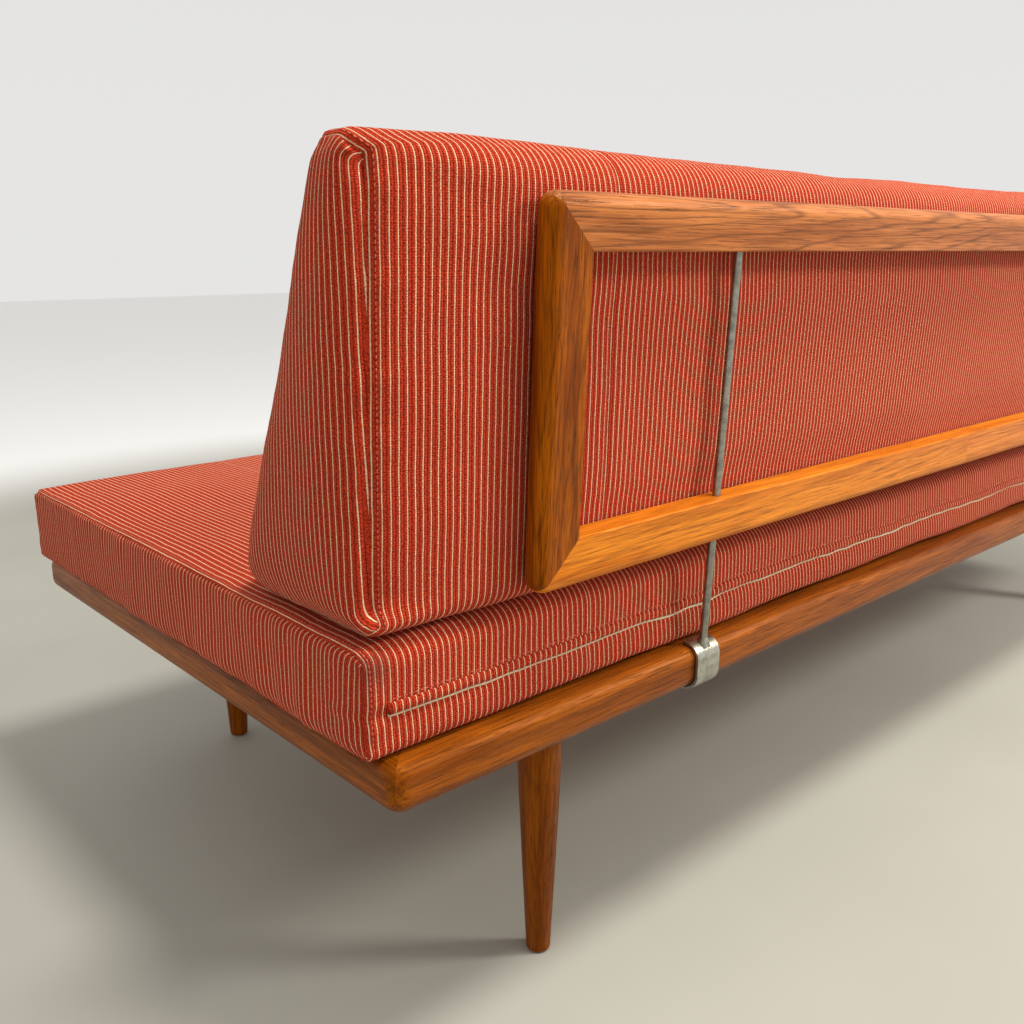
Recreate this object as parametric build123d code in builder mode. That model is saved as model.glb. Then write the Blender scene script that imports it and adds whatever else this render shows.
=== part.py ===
"""Daybed sofa: a mitred teak base on four turned legs, a slatted bed, a loose
mattress, a loose wedge back cushion, and a back frame carried on two steel rods
whose straps clasp the rear rail.

Millimetres. X runs along the length, the front faces -Y and +Z is up. The origin
is on the floor below the middle of the whole object. Right means +X.
"""

import os
from math import cos, radians, sin, tan

from build123d import *

# Base
LENGTH = 1950.0
BASE_DEPTH = 760.0
REAR_FACE_Y = 366.4
RAIL_TOP = 300.0
RAIL_HEIGHT = 42.0
RAIL_WIDTH = 45.0
RAIL_TOP_ROUND = 12.0
RAIL_LOW_ROUND = 14.5
CORNER_ROUND = 15.5

# Legs
LEG_FROM_END = 215.0
LEG_FROM_FACE = 64.6
LEG_TOP_R = 23.0
LEG_MIDDLE_R = 18.0
LEG_FOOT_R = 12.2
LEG_FOOT_ROUND = 4.0

# Slatted bed
SLAT_COUNT = 14
SLAT_WIDTH = 60.0
SLAT_THICKNESS = 12.0
SLAT_END_GAP = 1.0
SLAT_EDGE_ROUND = 2.0
LEDGER_WIDTH = 20.0
LEDGER_RISE = 12.0
BEARER_WIDTH = 70.0

# Joinery
SCREW_R = 2.0
SCREW_HEAD_R = 4.0
SCREW_HEAD_ANGLE = 82.0
SLAT_SCREW_LENGTH = 27.0
LEDGER_SCREW_LENGTH = 36.0
BOLT_R = 4.0
BOLT_LENGTH = 54.0
BOLT_IN_LEG = 30.0
INSERT_R = 6.0
DOWEL_R = 5.0
DOWEL_LENGTH = 50.0
DOWEL_SPACING = 40.0
TONGUE_THICKNESS = 5.0
BASE_TONGUE = 26.0
BACK_TONGUE = 22.0
TONGUE_SHIFT = 1.0
MITRE_OVERRUN = 5.0

# Back frame
BACK_FROM_END = 138.0
BACK_LEAN = 2.6
BACK_BOTTOM = 410.5
BACK_TOP = 725.5
BACK_MEMBER = 44.0
BACK_THICKNESS = 25.0
BACK_OUTER_ROUND = 11.0
BACK_INNER_ROUND = 2.0
BACK_CORNER_ROUND = 13.0
SPLICE_X = 71.0
SPLICE_LENGTH = 60.0

# Rods, and the lined straps that clasp the rear rail
ROD_R = 4.0
ROD_FROM_MIDDLE = 592.0
ROD_INSET = 4.0
ROD_IN_TOP_RAIL = 24.0
LINER_GAP = 0.3
LINER_OUTSIDE = 2.0
STRAP_THICKNESS = 2.5
STRAP_WIDTH = 35.0
STRAP_TOP_REACH = 15.5
STRAP_LOW_REACH = 43.0
WELD_R = 7.5
WELD_HEIGHT = 9.0
WELD_SINK = 1.0
WELD_LIP = 0.3

# Mattress
MATTRESS_END_INSET = 6.0
MATTRESS_REAR_INSET = 16.5
MATTRESS_FRONT_INSET = 5.0
MATTRESS_BOTTOM = RAIL_TOP + 0.4
MATTRESS_TOP = 396.5
MATTRESS_EDGE_ROUND = 14.0
MATTRESS_CORNER_ROUND = 24.0

# Back cushion, a wedge in section
CUSHION_END_INSET = 9.0
CUSHION_BOTTOM = MATTRESS_TOP + 0.5
CUSHION_TOP = 758.0
CUSHION_FOOT_DEPTH = 222.0
CUSHION_HEAD_DEPTH = 70.0
CUSHION_FRAME_GAP = 1.5
CUSHION_FOOT_ROUND = 22.0
CUSHION_HEEL_ROUND = 12.0
CUSHION_HEAD_ROUND = 30.0
CUSHION_END_ROUND = 7.0

# Covers and their zips
COVER_THICKNESS = 2.5
CORE_FIT = 0.2
ZIP_WIDTH = 9.0
ZIP_THICKNESS = 1.6
ZIP_RECESS = 1.0
ZIP_END_GAP = 40.0
ZIP_HEIGHT = 337.0

# Worked out from the sizes above
HALF_LENGTH = LENGTH / 2
HALF_DEPTH = BASE_DEPTH / 2
BASE_MIDDLE_Y = REAR_FACE_Y - HALF_DEPTH
FRONT_FACE_Y = REAR_FACE_Y - BASE_DEPTH
RAIL_BOTTOM = RAIL_TOP - RAIL_HEIGHT
SLAT_BOTTOM = RAIL_TOP - SLAT_THICKNESS
BEARER_X = HALF_LENGTH - LEG_FROM_END
LEDGER_BOTTOM = RAIL_BOTTOM + LEDGER_RISE
LEDGER_HEIGHT = SLAT_BOTTOM - LEDGER_BOTTOM
INNER_DEPTH = BASE_DEPTH - 2 * RAIL_WIDTH
INNER_LENGTH = LENGTH - 2 * RAIL_WIDTH
ROD_Y = REAR_FACE_Y - ROD_INSET
LEAN = radians(BACK_LEAN)
SIDES = {"left": -1, "right": 1}

# The back frame lies in a leaning plane through both rods: X along the length,
# Y up along the rods from the height of the rail's top, Z towards the front.
back_plane = Plane(origin=(0, ROD_Y, RAIL_TOP), x_dir=(1, 0, 0), z_dir=(0, -cos(LEAN), sin(LEAN)))
BACK_LOW = (BACK_BOTTOM - RAIL_TOP) / cos(LEAN)
BACK_HIGH = (BACK_TOP - RAIL_TOP) / cos(LEAN)
BACK_HALF_LENGTH = HALF_LENGTH - BACK_FROM_END


def save(piece, name):
    """Label a finished piece and write it to its own file."""
    piece.part.label = name
    export_step(piece.part, f"parts/{name}.step")


def rod_line_y(height):
    """Y of the rods' centre line at a height above the floor."""
    return ROD_Y + (height - RAIL_TOP) * tan(LEAN)


# Base rails ------------------------------------------------------------------

def base_moulding():
    """The four rails as one closed ring, before the mitres part them."""
    with BuildPart() as ring:
        with BuildSketch(Plane.XY.offset(RAIL_BOTTOM)):
            with Locations((0, BASE_MIDDLE_Y)):
                RectangleRounded(LENGTH, BASE_DEPTH, CORNER_ROUND)
        extrude(amount=RAIL_HEIGHT)
        fillet(ring.faces().sort_by(Axis.Z)[-1].edges(), RAIL_TOP_ROUND)
        fillet(ring.faces().sort_by(Axis.Z)[0].edges(), RAIL_LOW_ROUND)
        with BuildSketch(Plane.XY.offset(RAIL_BOTTOM)):
            with Locations((0, BASE_MIDDLE_Y)):
                Rectangle(INNER_LENGTH, INNER_DEPTH)
        extrude(amount=RAIL_HEIGHT, mode=Mode.SUBTRACT)
    return ring


def base_corner_tongues():
    """Loose tongues glued across the four mitred corners."""
    inset = RAIL_WIDTH / 2 + TONGUE_SHIFT
    with BuildPart() as tongues:
        with BuildSketch(Plane.XY.offset(RAIL_BOTTOM + (RAIL_HEIGHT - TONGUE_THICKNESS) / 2)):
            with Locations((0, BASE_MIDDLE_Y)):
                with GridLocations(LENGTH - 2 * inset, BASE_DEPTH - 2 * inset, 2, 2):
                    Rectangle(BASE_TONGUE, BASE_TONGUE, rotation=45)
        extrude(amount=TONGUE_THICKNESS)
    return tongues


def mitred_piece(ring, plane, half_long, half_short, width, side):
    """Cut one member out of a ring along its two mitres.

    side is the way from the ring's middle to the member, in the plane's own X
    and Y. The plane's origin is at the ring's middle.
    """
    out = MITRE_OVERRUN
    inner = width + out
    if side[0] == 0:
        corners = [
            (-half_long - out, side[1] * (half_short + out)),
            (half_long + out, side[1] * (half_short + out)),
            (half_long - inner, side[1] * (half_short - inner)),
            (-half_long + inner, side[1] * (half_short - inner)),
        ]
    else:
        corners = [
            (side[0] * (half_long + out), -half_short - out),
            (side[0] * (half_long + out), half_short + out),
            (side[0] * (half_long - inner), half_short - inner),
            (side[0] * (half_long - inner), -half_short + inner),
        ]
    with BuildPart() as piece:
        add(ring.part)
        with BuildSketch(plane):
            with BuildLine():
                Polyline(*corners, close=True)
            make_face()
        extrude(amount=2 * width, both=True, mode=Mode.INTERSECT)
    return piece


def cut_away(piece, *others):
    """The piece with the room for other pieces cut out of it."""
    with BuildPart() as cut:
        add(piece.part)
        for other in others:
            add(other.part, mode=Mode.SUBTRACT)
    return cut


# Slatted bed -----------------------------------------------------------------

def slat_positions():
    pitch = INNER_LENGTH / SLAT_COUNT
    return [-INNER_LENGTH / 2 + pitch * (i + 0.5) for i in range(SLAT_COUNT)]


def ledger_lines():
    """Y of the middle of the front and the rear ledger."""
    inset = RAIL_WIDTH + LEDGER_WIDTH / 2
    return {"front": FRONT_FACE_Y + inset, "rear": REAR_FACE_Y - inset}


def slat_screw_points():
    return [(x, y, RAIL_TOP) for x in slat_positions() for y in ledger_lines().values()]


def make_slat(x):
    with BuildPart() as slat:
        with BuildSketch(Plane.XY.offset(SLAT_BOTTOM)):
            with Locations((x, BASE_MIDDLE_Y)):
                Rectangle(SLAT_WIDTH, INNER_DEPTH - 2 * SLAT_END_GAP)
        extrude(amount=SLAT_THICKNESS)
        fillet(slat.edges().filter_by(Axis.Y), SLAT_EDGE_ROUND)
        with Locations(*[(x, y, RAIL_TOP) for y in ledger_lines().values()]):
            CounterSinkHole(SCREW_R, SCREW_HEAD_R, SLAT_THICKNESS, SCREW_HEAD_ANGLE)
    return slat


def make_screws(points, length, direction):
    """Countersunk screws whose heads lie flush at the points."""
    head_depth = (SCREW_HEAD_R - SCREW_R) / tan(radians(SCREW_HEAD_ANGLE / 2))
    with BuildPart() as screws:
        for point in points:
            with BuildSketch(Plane(origin=point, z_dir=direction)):
                Circle(SCREW_R)
            extrude(amount=length)
            with BuildSketch(Plane(origin=point, z_dir=direction)):
                Circle(SCREW_HEAD_R)
            with BuildSketch(Plane(origin=point, z_dir=direction).offset(head_depth)):
                Circle(SCREW_R)
            loft()
    return screws


def ledger_spans():
    """X range of each ledger piece, between the rails and the leg bearers."""
    near = BEARER_X - BEARER_WIDTH / 2
    far = BEARER_X + BEARER_WIDTH / 2
    end = INNER_LENGTH / 2
    return {"left": (-end, -far), "centre": (-near, near), "right": (far, end)}


def ledger_screw_xs():
    """Ledger screws stand midway between slats, clear of the slats' own screws."""
    pitch = INNER_LENGTH / SLAT_COUNT
    near = BEARER_X - BEARER_WIDTH / 2
    end_screw = (BEARER_X + BEARER_WIDTH / 2 + INNER_LENGTH / 2) / 2 - pitch / 4
    between = [pitch * i for i in range(-4, 5, 2) if abs(pitch * i) < near]
    return [-end_screw] + between + [end_screw]


def make_ledger(span, y):
    with BuildPart() as ledger:
        with BuildSketch(Plane.XY.offset(LEDGER_BOTTOM)):
            with Locations(((span[0] + span[1]) / 2, y)):
                Rectangle(span[1] - span[0], LEDGER_WIDTH)
        extrude(amount=LEDGER_HEIGHT)
    return ledger


def make_bearer(side):
    """The cross bearer that the two legs of one end screw up into."""
    with BuildPart() as bearer:
        with BuildSketch(Plane.XY.offset(RAIL_BOTTOM)):
            with Locations((side * BEARER_X, BASE_MIDDLE_Y)):
                Rectangle(BEARER_WIDTH, INNER_DEPTH)
        extrude(amount=SLAT_BOTTOM - RAIL_BOTTOM)
    return bearer


def make_bearer_dowels():
    """Dowels that join both ends of each bearer to the long rails."""
    height = (RAIL_BOTTOM + SLAT_BOTTOM) / 2
    with BuildPart() as dowels:
        for side in SIDES.values():
            for face_y in (FRONT_FACE_Y + RAIL_WIDTH, REAR_FACE_Y - RAIL_WIDTH):
                joint = Plane((side * BEARER_X, face_y, height), x_dir=(1, 0, 0), z_dir=(0, 1, 0))
                with BuildSketch(joint):
                    with GridLocations(DOWEL_SPACING, 0, 2, 1):
                        Circle(DOWEL_R)
                extrude(amount=DOWEL_LENGTH / 2, both=True)
    return dowels


# Legs ------------------------------------------------------------------------

def leg_points():
    """Plan position of each leg's axis, by the leg's name."""
    rows = {"front": FRONT_FACE_Y + LEG_FROM_FACE, "rear": REAR_FACE_Y - LEG_FROM_FACE}
    return {
        f"{row}_{name}": (side * BEARER_X, y)
        for row, y in rows.items()
        for name, side in SIDES.items()
    }


def make_leg(x, y):
    """A turned leg, round in section and tapering to a softened foot."""
    with BuildPart() as leg:
        with BuildSketch(Plane(origin=(x, y, 0), x_dir=(1, 0, 0), z_dir=(0, -1, 0))):
            with BuildLine():
                sole = Line((0, 0), (LEG_FOOT_R - LEG_FOOT_ROUND, 0))
                foot = RadiusArc(sole @ 1, (LEG_FOOT_R, LEG_FOOT_ROUND), -LEG_FOOT_ROUND)
                shaft = ThreePointArc(foot @ 1, (LEG_MIDDLE_R, RAIL_BOTTOM / 2), (LEG_TOP_R, RAIL_BOTTOM))
                Polyline(shaft @ 1, (0, RAIL_BOTTOM), (0, 0))
            make_face()
        revolve(axis=Axis((x, y, 0), (0, 0, 1)))
    return leg


def make_leg_bolts():
    with BuildPart() as bolts:
        with BuildSketch(Plane.XY.offset(RAIL_BOTTOM - BOLT_IN_LEG)):
            with Locations(*leg_points().values()):
                Circle(BOLT_R)
        extrude(amount=BOLT_LENGTH)
    return bolts


def make_leg_inserts():
    """Threaded sleeves in the bearers that take the upper ends of the bolts."""
    with BuildPart() as inserts:
        with BuildSketch(Plane.XY.offset(RAIL_BOTTOM)):
            with Locations(*leg_points().values()):
                Circle(INSERT_R)
                Circle(BOLT_R, mode=Mode.SUBTRACT)
        extrude(amount=BOLT_LENGTH - BOLT_IN_LEG)
    return inserts


# Back frame ------------------------------------------------------------------

BACK_HEIGHT = BACK_HIGH - BACK_LOW
frame_middle = Plane(
    origin=back_plane.from_local_coords((0, (BACK_LOW + BACK_HIGH) / 2, 0)),
    x_dir=(1, 0, 0),
    z_dir=back_plane.z_dir,
)


def back_moulding():
    """The back frame's members as one closed ring, before the mitres part them."""
    with BuildPart() as ring:
        with BuildSketch(frame_middle):
            RectangleRounded(2 * BACK_HALF_LENGTH, BACK_HEIGHT, BACK_CORNER_ROUND)
        extrude(amount=BACK_THICKNESS / 2, both=True)
        across = Axis(frame_middle.origin, frame_middle.z_dir)
        fillet(ring.faces().sort_by(across)[0].edges(), BACK_OUTER_ROUND)
        fillet(ring.faces().sort_by(across)[-1].edges(), BACK_OUTER_ROUND)
        with BuildSketch(frame_middle):
            Rectangle(2 * (BACK_HALF_LENGTH - BACK_MEMBER), BACK_HEIGHT - 2 * BACK_MEMBER)
        extrude(amount=BACK_THICKNESS, both=True, mode=Mode.SUBTRACT)
        for face in (ring.faces().sort_by(across)[0], ring.faces().sort_by(across)[-1]):
            fillet(face.inner_wires().edges(), BACK_INNER_ROUND)
    return ring


def back_corner_tongues():
    """Loose tongues glued across the back frame's four mitres."""
    spread = BACK_MEMBER + 2 * TONGUE_SHIFT
    with BuildPart() as tongues:
        with BuildSketch(frame_middle):
            with GridLocations(2 * BACK_HALF_LENGTH - spread, BACK_HEIGHT - spread, 2, 2):
                Rectangle(BACK_TONGUE, BACK_TONGUE, rotation=45)
        extrude(amount=TONGUE_THICKNESS / 2, both=True)
    return tongues


def bottom_rail_tongue():
    """The tongue inside the glued joint between the two lengths of bottom rail."""
    with BuildPart() as tongue:
        with BuildSketch(frame_middle):
            with Locations((SPLICE_X, (BACK_MEMBER - BACK_HEIGHT) / 2)):
                Rectangle(SPLICE_LENGTH, BACK_TONGUE)
        extrude(amount=TONGUE_THICKNESS / 2, both=True)
    return tongue


def one_side_of_splice(piece, side):
    """The length of bottom rail on one side of the glued joint."""
    with BuildPart() as length:
        add(piece.part)
        with BuildSketch(Plane(origin=(SPLICE_X, ROD_Y, BACK_BOTTOM), z_dir=(side, 0, 0))):
            Rectangle(LENGTH, LENGTH)
        extrude(amount=LENGTH, mode=Mode.INTERSECT)
    return length


# Rods and straps -------------------------------------------------------------

def clasp_block(grow, x, width, reach=RAIL_WIDTH):
    """A block of the rear rail's section, grown outward and reaching in from the rear."""
    top = RAIL_TOP + grow
    low = RAIL_BOTTOM - grow
    rear = REAR_FACE_Y + grow
    front = REAR_FACE_Y - reach
    top_round = RAIL_TOP_ROUND + grow
    low_round = RAIL_LOW_ROUND + grow
    with BuildPart() as block:
        with BuildSketch(Plane.YZ.offset(x)):
            with BuildLine():
                upper = Line((front, top), (rear - top_round, top))
                shoulder = RadiusArc(upper @ 1, (rear, top - top_round), top_round)
                face = Line(shoulder @ 1, (rear, low + low_round))
                heel = RadiusArc(face @ 1, (rear - low_round, low), low_round)
                Polyline(heel @ 1, (front, low), (front, top))
            make_face()
        extrude(amount=width / 2, both=True)
    return block


def rod_foot(x):
    """The plane across a rod's lower end, facing up along the rod."""
    return Plane(origin=(x, ROD_Y, RAIL_TOP), z_dir=(0, sin(LEAN), cos(LEAN)))


def make_rod(x):
    """A straight rod, coped over the strap and let into the top rail."""
    with BuildPart() as rod:
        with BuildSketch(rod_foot(x)):
            Circle(ROD_R)
        extrude(amount=BACK_HIGH - BACK_MEMBER + ROD_IN_TOP_RAIL)
        add(clasp_block(LINER_OUTSIDE + STRAP_THICKNESS, x, 2 * STRAP_WIDTH).part, mode=Mode.SUBTRACT)
    return rod


def clasp_layer(x, inside, outside):
    """A C-shaped layer round the rail, between two distances from its surface."""
    with BuildPart() as layer:
        add(clasp_block(outside, x, STRAP_WIDTH, STRAP_LOW_REACH).part)
        add(clasp_block(inside, x, 2 * STRAP_WIDTH).part, mode=Mode.SUBTRACT)
        with BuildSketch(Plane.YZ.offset(x)):
            with Locations((REAR_FACE_Y - STRAP_TOP_REACH, RAIL_TOP)):
                Rectangle(RAIL_WIDTH, RAIL_HEIGHT, align=(Align.MAX, Align.CENTER))
        extrude(amount=STRAP_WIDTH, both=True, mode=Mode.SUBTRACT)
    return layer


def make_strap(x, rod):
    """The steel strap with the weld that holds the rod's foot."""
    weld_foot = rod_foot(x).offset(-WELD_SINK)
    with BuildPart() as strap:
        add(clasp_layer(x, LINER_OUTSIDE, LINER_OUTSIDE + STRAP_THICKNESS).part)
        with BuildSketch(weld_foot):
            Circle(WELD_R)
        with BuildSketch(weld_foot.offset(WELD_HEIGHT)):
            Circle(ROD_R + WELD_LIP)
        loft()
        add(clasp_block(LINER_OUTSIDE, x, 2 * STRAP_WIDTH).part, mode=Mode.SUBTRACT)
        add(rod.part, mode=Mode.SUBTRACT)
    return strap


# Cushions --------------------------------------------------------------------

def mattress_form(inset):
    """The mattress, or what is inside it at an inset from its surface."""
    length = LENGTH - 2 * MATTRESS_END_INSET
    depth = BASE_DEPTH - MATTRESS_REAR_INSET - MATTRESS_FRONT_INSET
    middle = REAR_FACE_Y - MATTRESS_REAR_INSET - depth / 2
    with BuildPart() as form:
        with BuildSketch(Plane.XY.offset(MATTRESS_BOTTOM + inset)):
            with Locations((0, middle)):
                RectangleRounded(length - 2 * inset, depth - 2 * inset, MATTRESS_CORNER_ROUND - inset)
        extrude(amount=MATTRESS_TOP - MATTRESS_BOTTOM - 2 * inset)
        for face in (form.faces().sort_by(Axis.Z)[0], form.faces().sort_by(Axis.Z)[-1]):
            fillet(face.edges(), MATTRESS_EDGE_ROUND - inset)
    return form


def cushion_corners(inset):
    """Section of the back cushion: heel, foot, front of head, rear of head."""
    half = BACK_THICKNESS / 2 / cos(LEAN) + CUSHION_FRAME_GAP
    heel_y = rod_line_y(CUSHION_BOTTOM) - half
    head_y = rod_line_y(CUSHION_TOP) - half
    run = CUSHION_FOOT_DEPTH - CUSHION_HEAD_DEPTH - (heel_y - head_y)
    slope = run / (CUSHION_TOP - CUSHION_BOTTOM)
    front_shift = inset * ((1 + slope**2) ** 0.5 + slope)
    low = CUSHION_BOTTOM + inset
    high = CUSHION_TOP - inset
    return {
        "heel": (heel_y - inset, low),
        "foot": (heel_y - CUSHION_FOOT_DEPTH + front_shift, low),
        "brow": (heel_y - CUSHION_FOOT_DEPTH + slope * (high - low) + front_shift, high),
        "crown": (head_y - inset, high),
    }


def cushion_form(inset):
    """The back cushion, or what is inside it at an inset from its surface."""
    corners = cushion_corners(inset)
    rounds = {
        "heel": CUSHION_HEEL_ROUND,
        "foot": CUSHION_FOOT_ROUND,
        "brow": CUSHION_HEAD_ROUND,
        "crown": CUSHION_HEAD_ROUND,
    }
    half = HALF_LENGTH - CUSHION_END_INSET - inset
    with BuildPart() as form:
        with BuildSketch(Plane.YZ) as section:
            with BuildLine():
                Polyline(*corners.values(), close=True)
            make_face()
            for name, radius in rounds.items():
                corner = section.vertices().sort_by_distance((*corners[name], 0))[0]
                fillet(corner, radius - inset)
        extrude(amount=half, both=True)
        for face in (form.faces().sort_by(Axis.X)[0], form.faces().sort_by(Axis.X)[-1]):
            fillet(face.edges(), CUSHION_END_ROUND - inset)
    return form


def make_zip(plane, length):
    """A zip fastener laid flat along the cover, its face along the plane's Z."""
    with BuildPart() as strip:
        with BuildSketch(plane.offset(-ZIP_RECESS)):
            Rectangle(length, ZIP_WIDTH)
        extrude(amount=ZIP_THICKNESS)
    return strip


# Making every piece ----------------------------------------------------------

def make_base():
    base_plane = Plane((0, BASE_MIDDLE_Y, RAIL_BOTTOM + RAIL_HEIGHT / 2))
    ring = base_moulding()
    tongues = base_corner_tongues()
    dowels = make_bearer_dowels()
    bolts = make_leg_bolts()
    inserts = make_leg_inserts()
    slat_screws = make_screws(slat_screw_points(), SLAT_SCREW_LENGTH, (0, 0, -1))
    height = LEDGER_BOTTOM + LEDGER_HEIGHT / 2
    lines = ledger_lines()
    front_heads = [(x, lines["front"] + LEDGER_WIDTH / 2, height) for x in ledger_screw_xs()]
    rear_heads = [(x, lines["rear"] - LEDGER_WIDTH / 2, height) for x in ledger_screw_xs()]
    front_screws = make_screws(front_heads, LEDGER_SCREW_LENGTH, (0, -1, 0))
    rear_screws = make_screws(rear_heads, LEDGER_SCREW_LENGTH, (0, 1, 0))
    ledger_screws = {"front": front_screws, "rear": rear_screws}

    for name, side in {"front_rail": (0, -1), "rear_rail": (0, 1)}.items():
        rail = mitred_piece(ring, base_plane, HALF_LENGTH, HALF_DEPTH, RAIL_WIDTH, side)
        screws = ledger_screws[name.split("_")[0]]
        save(cut_away(rail, tongues, dowels, screws), name)
    for name, side in {"left_end_rail": (-1, 0), "right_end_rail": (1, 0)}.items():
        rail = mitred_piece(ring, base_plane, HALF_LENGTH, HALF_DEPTH, RAIL_WIDTH, side)
        save(cut_away(rail, tongues), name)

    for row, y in lines.items():
        for name, span in ledger_spans().items():
            ledger = make_ledger(span, y)
            save(cut_away(ledger, ledger_screws[row], slat_screws), f"ledger_{row}_{name}")
    for name, side in SIDES.items():
        bearer = make_bearer(side)
        save(cut_away(bearer, dowels, bolts, inserts, slat_screws), f"leg_bearer_{name}")
    for name, (x, y) in leg_points().items():
        save(cut_away(make_leg(x, y), bolts), f"leg_{name}")
    for number, x in enumerate(slat_positions(), start=1):
        save(make_slat(x), f"slat_{number:02d}")

    with BuildPart() as all_ledger_screws:
        add(front_screws.part)
        add(rear_screws.part)
    save(tongues, "base_corner_tongues")
    save(dowels, "bearer_dowels")
    save(bolts, "leg_bolts")
    save(inserts, "leg_inserts")
    save(slat_screws, "slat_screws")
    save(all_ledger_screws, "ledger_screws")


def make_back():
    ring = back_moulding()
    tongues = back_corner_tongues()
    splice = bottom_rail_tongue()
    rods = {name: make_rod(side * ROD_FROM_MIDDLE) for name, side in SIDES.items()}
    members = {
        "top_rail": (0, 1),
        "bottom_rail": (0, -1),
        "stile_left": (-1, 0),
        "stile_right": (1, 0),
    }
    for name, side in members.items():
        member = mitred_piece(ring, frame_middle, BACK_HALF_LENGTH, BACK_HEIGHT / 2, BACK_MEMBER, side)
        finished = cut_away(member, tongues, splice, *rods.values())
        if name == "bottom_rail":
            save(one_side_of_splice(finished, -1), "back_bottom_rail_left")
            save(one_side_of_splice(finished, 1), "back_bottom_rail_right")
        else:
            save(finished, f"back_{name}")
    for name, side in SIDES.items():
        x = side * ROD_FROM_MIDDLE
        save(rods[name], f"back_rod_{name}")
        save(make_strap(x, rods[name]), f"rail_strap_{name}")
        save(clasp_layer(x, LINER_GAP, LINER_OUTSIDE), f"strap_liner_{name}")
    save(tongues, "back_corner_tongues")
    save(splice, "bottom_rail_tongue")


def make_cushions():
    rear_y = REAR_FACE_Y - MATTRESS_REAR_INSET
    mattress_zip_plane = Plane(origin=(0, rear_y, ZIP_HEIGHT), x_dir=(-1, 0, 0), z_dir=(0, 1, 0))
    corners = cushion_corners(0.0)
    sole_y = (corners["heel"][0] + corners["foot"][0]) / 2
    cushion_zip_plane = Plane(
        origin=(0, sole_y, CUSHION_BOTTOM + ZIP_THICKNESS - ZIP_RECESS),
        x_dir=(1, 0, 0),
        z_dir=(0, 0, -1),
    )
    for name, form, plane in (
        ("mattress", mattress_form, mattress_zip_plane),
        ("back_cushion", cushion_form, cushion_zip_plane),
    ):
        strip = make_zip(plane, LENGTH - 2 * ZIP_END_GAP)
        cover = cut_away(form(0.0), form(COVER_THICKNESS), strip)
        save(cover, f"{name}_cover")
        save(form(COVER_THICKNESS + CORE_FIT), f"{name}_core")
        save(strip, f"{name}_zip")


os.makedirs("parts", exist_ok=True)
make_base()
make_back()
make_cushions()
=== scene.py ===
"""Looks for the daybed: oiled teak, satin steel, and two pads in striped wool.

Metres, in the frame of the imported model: X runs along the length, the front
faces -Y and +Z is up.
"""

import math

import bpy
import numpy as np
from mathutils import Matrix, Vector, noise
from mathutils.bvhtree import BVHTree


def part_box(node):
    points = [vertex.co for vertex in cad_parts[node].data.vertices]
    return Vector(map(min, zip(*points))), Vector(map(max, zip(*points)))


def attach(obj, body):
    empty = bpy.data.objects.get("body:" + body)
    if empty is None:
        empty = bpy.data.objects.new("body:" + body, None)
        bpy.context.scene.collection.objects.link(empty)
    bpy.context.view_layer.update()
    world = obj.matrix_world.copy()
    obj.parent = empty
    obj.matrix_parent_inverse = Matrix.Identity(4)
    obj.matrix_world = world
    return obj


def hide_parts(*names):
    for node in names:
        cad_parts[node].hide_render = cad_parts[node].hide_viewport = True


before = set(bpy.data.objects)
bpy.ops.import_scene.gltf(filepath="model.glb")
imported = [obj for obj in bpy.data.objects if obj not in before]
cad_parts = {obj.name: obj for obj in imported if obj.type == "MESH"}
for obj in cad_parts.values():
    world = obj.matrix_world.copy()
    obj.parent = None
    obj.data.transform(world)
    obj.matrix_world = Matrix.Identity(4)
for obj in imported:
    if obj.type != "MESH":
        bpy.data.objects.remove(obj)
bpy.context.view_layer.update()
scene = bpy.context.scene

# The cloth: its stripes, and the joins between its widths, from the middle
STRIPE_PITCH = 0.0064
WEFT_PITCH = 0.0019
WIDTH_JOIN = 0.741

# The wrapped cloth's roll into an end seam, in radians, and the reach of its outstanding top
END_TURN = 0.9
LIFT_REACH = 0.2

# The world's light near the horizon and overhead
HORIZON_LIGHT = 0.79
OVERHEAD_LIGHT = 0.72


# Camera, lights, floor --------------------------------------------------------

def add_camera():
    data = bpy.data.cameras.new("camera")
    data.sensor_width = 36
    data.lens = 35.44
    data.clip_start = 0.05
    data.clip_end = 60
    camera = bpy.data.objects.new("camera", data)
    camera.location = (1.3705, 0.9328, 0.6827)
    camera.rotation_euler = (math.radians(75.42), 0, math.radians(137.67))
    scene.collection.objects.link(camera)
    scene.camera = camera


def add_light(name, place, aim, size, power, colour):
    data = bpy.data.lights.new(name, "AREA")
    data.shape = "DISK"
    data.size = size
    data.energy = power
    data.color = colour
    light = bpy.data.objects.new(name, data)
    light.location = place
    light.rotation_euler = (Vector(aim) - Vector(place)).to_track_quat("-Z", "Y").to_euler()
    scene.collection.objects.link(light)


def add_world():
    world = bpy.data.worlds.new("room")
    world.use_nodes = True
    tree = world.node_tree
    background = tree.nodes["Background"]
    background.inputs["Color"].default_value = (1.0, 0.99, 0.975, 1)
    heading = tree.nodes.new("ShaderNodeTexCoord")
    parts = tree.nodes.new("ShaderNodeSeparateXYZ")
    fade = tree.nodes.new("ShaderNodeMapRange")
    fade.interpolation_type = "SMOOTHSTEP"
    for socket, value in zip(fade.inputs[1:5], (0.1, 0.5, HORIZON_LIGHT, OVERHEAD_LIGHT)):
        socket.default_value = value
    tree.links.new(heading.outputs["Generated"], parts.inputs[0])
    tree.links.new(parts.outputs[2], fade.inputs[0])
    tree.links.new(fade.outputs[0], background.inputs["Strength"])
    scene.world = world
    scene.view_settings.view_transform = "Standard"


# Material building ------------------------------------------------------------

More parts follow.
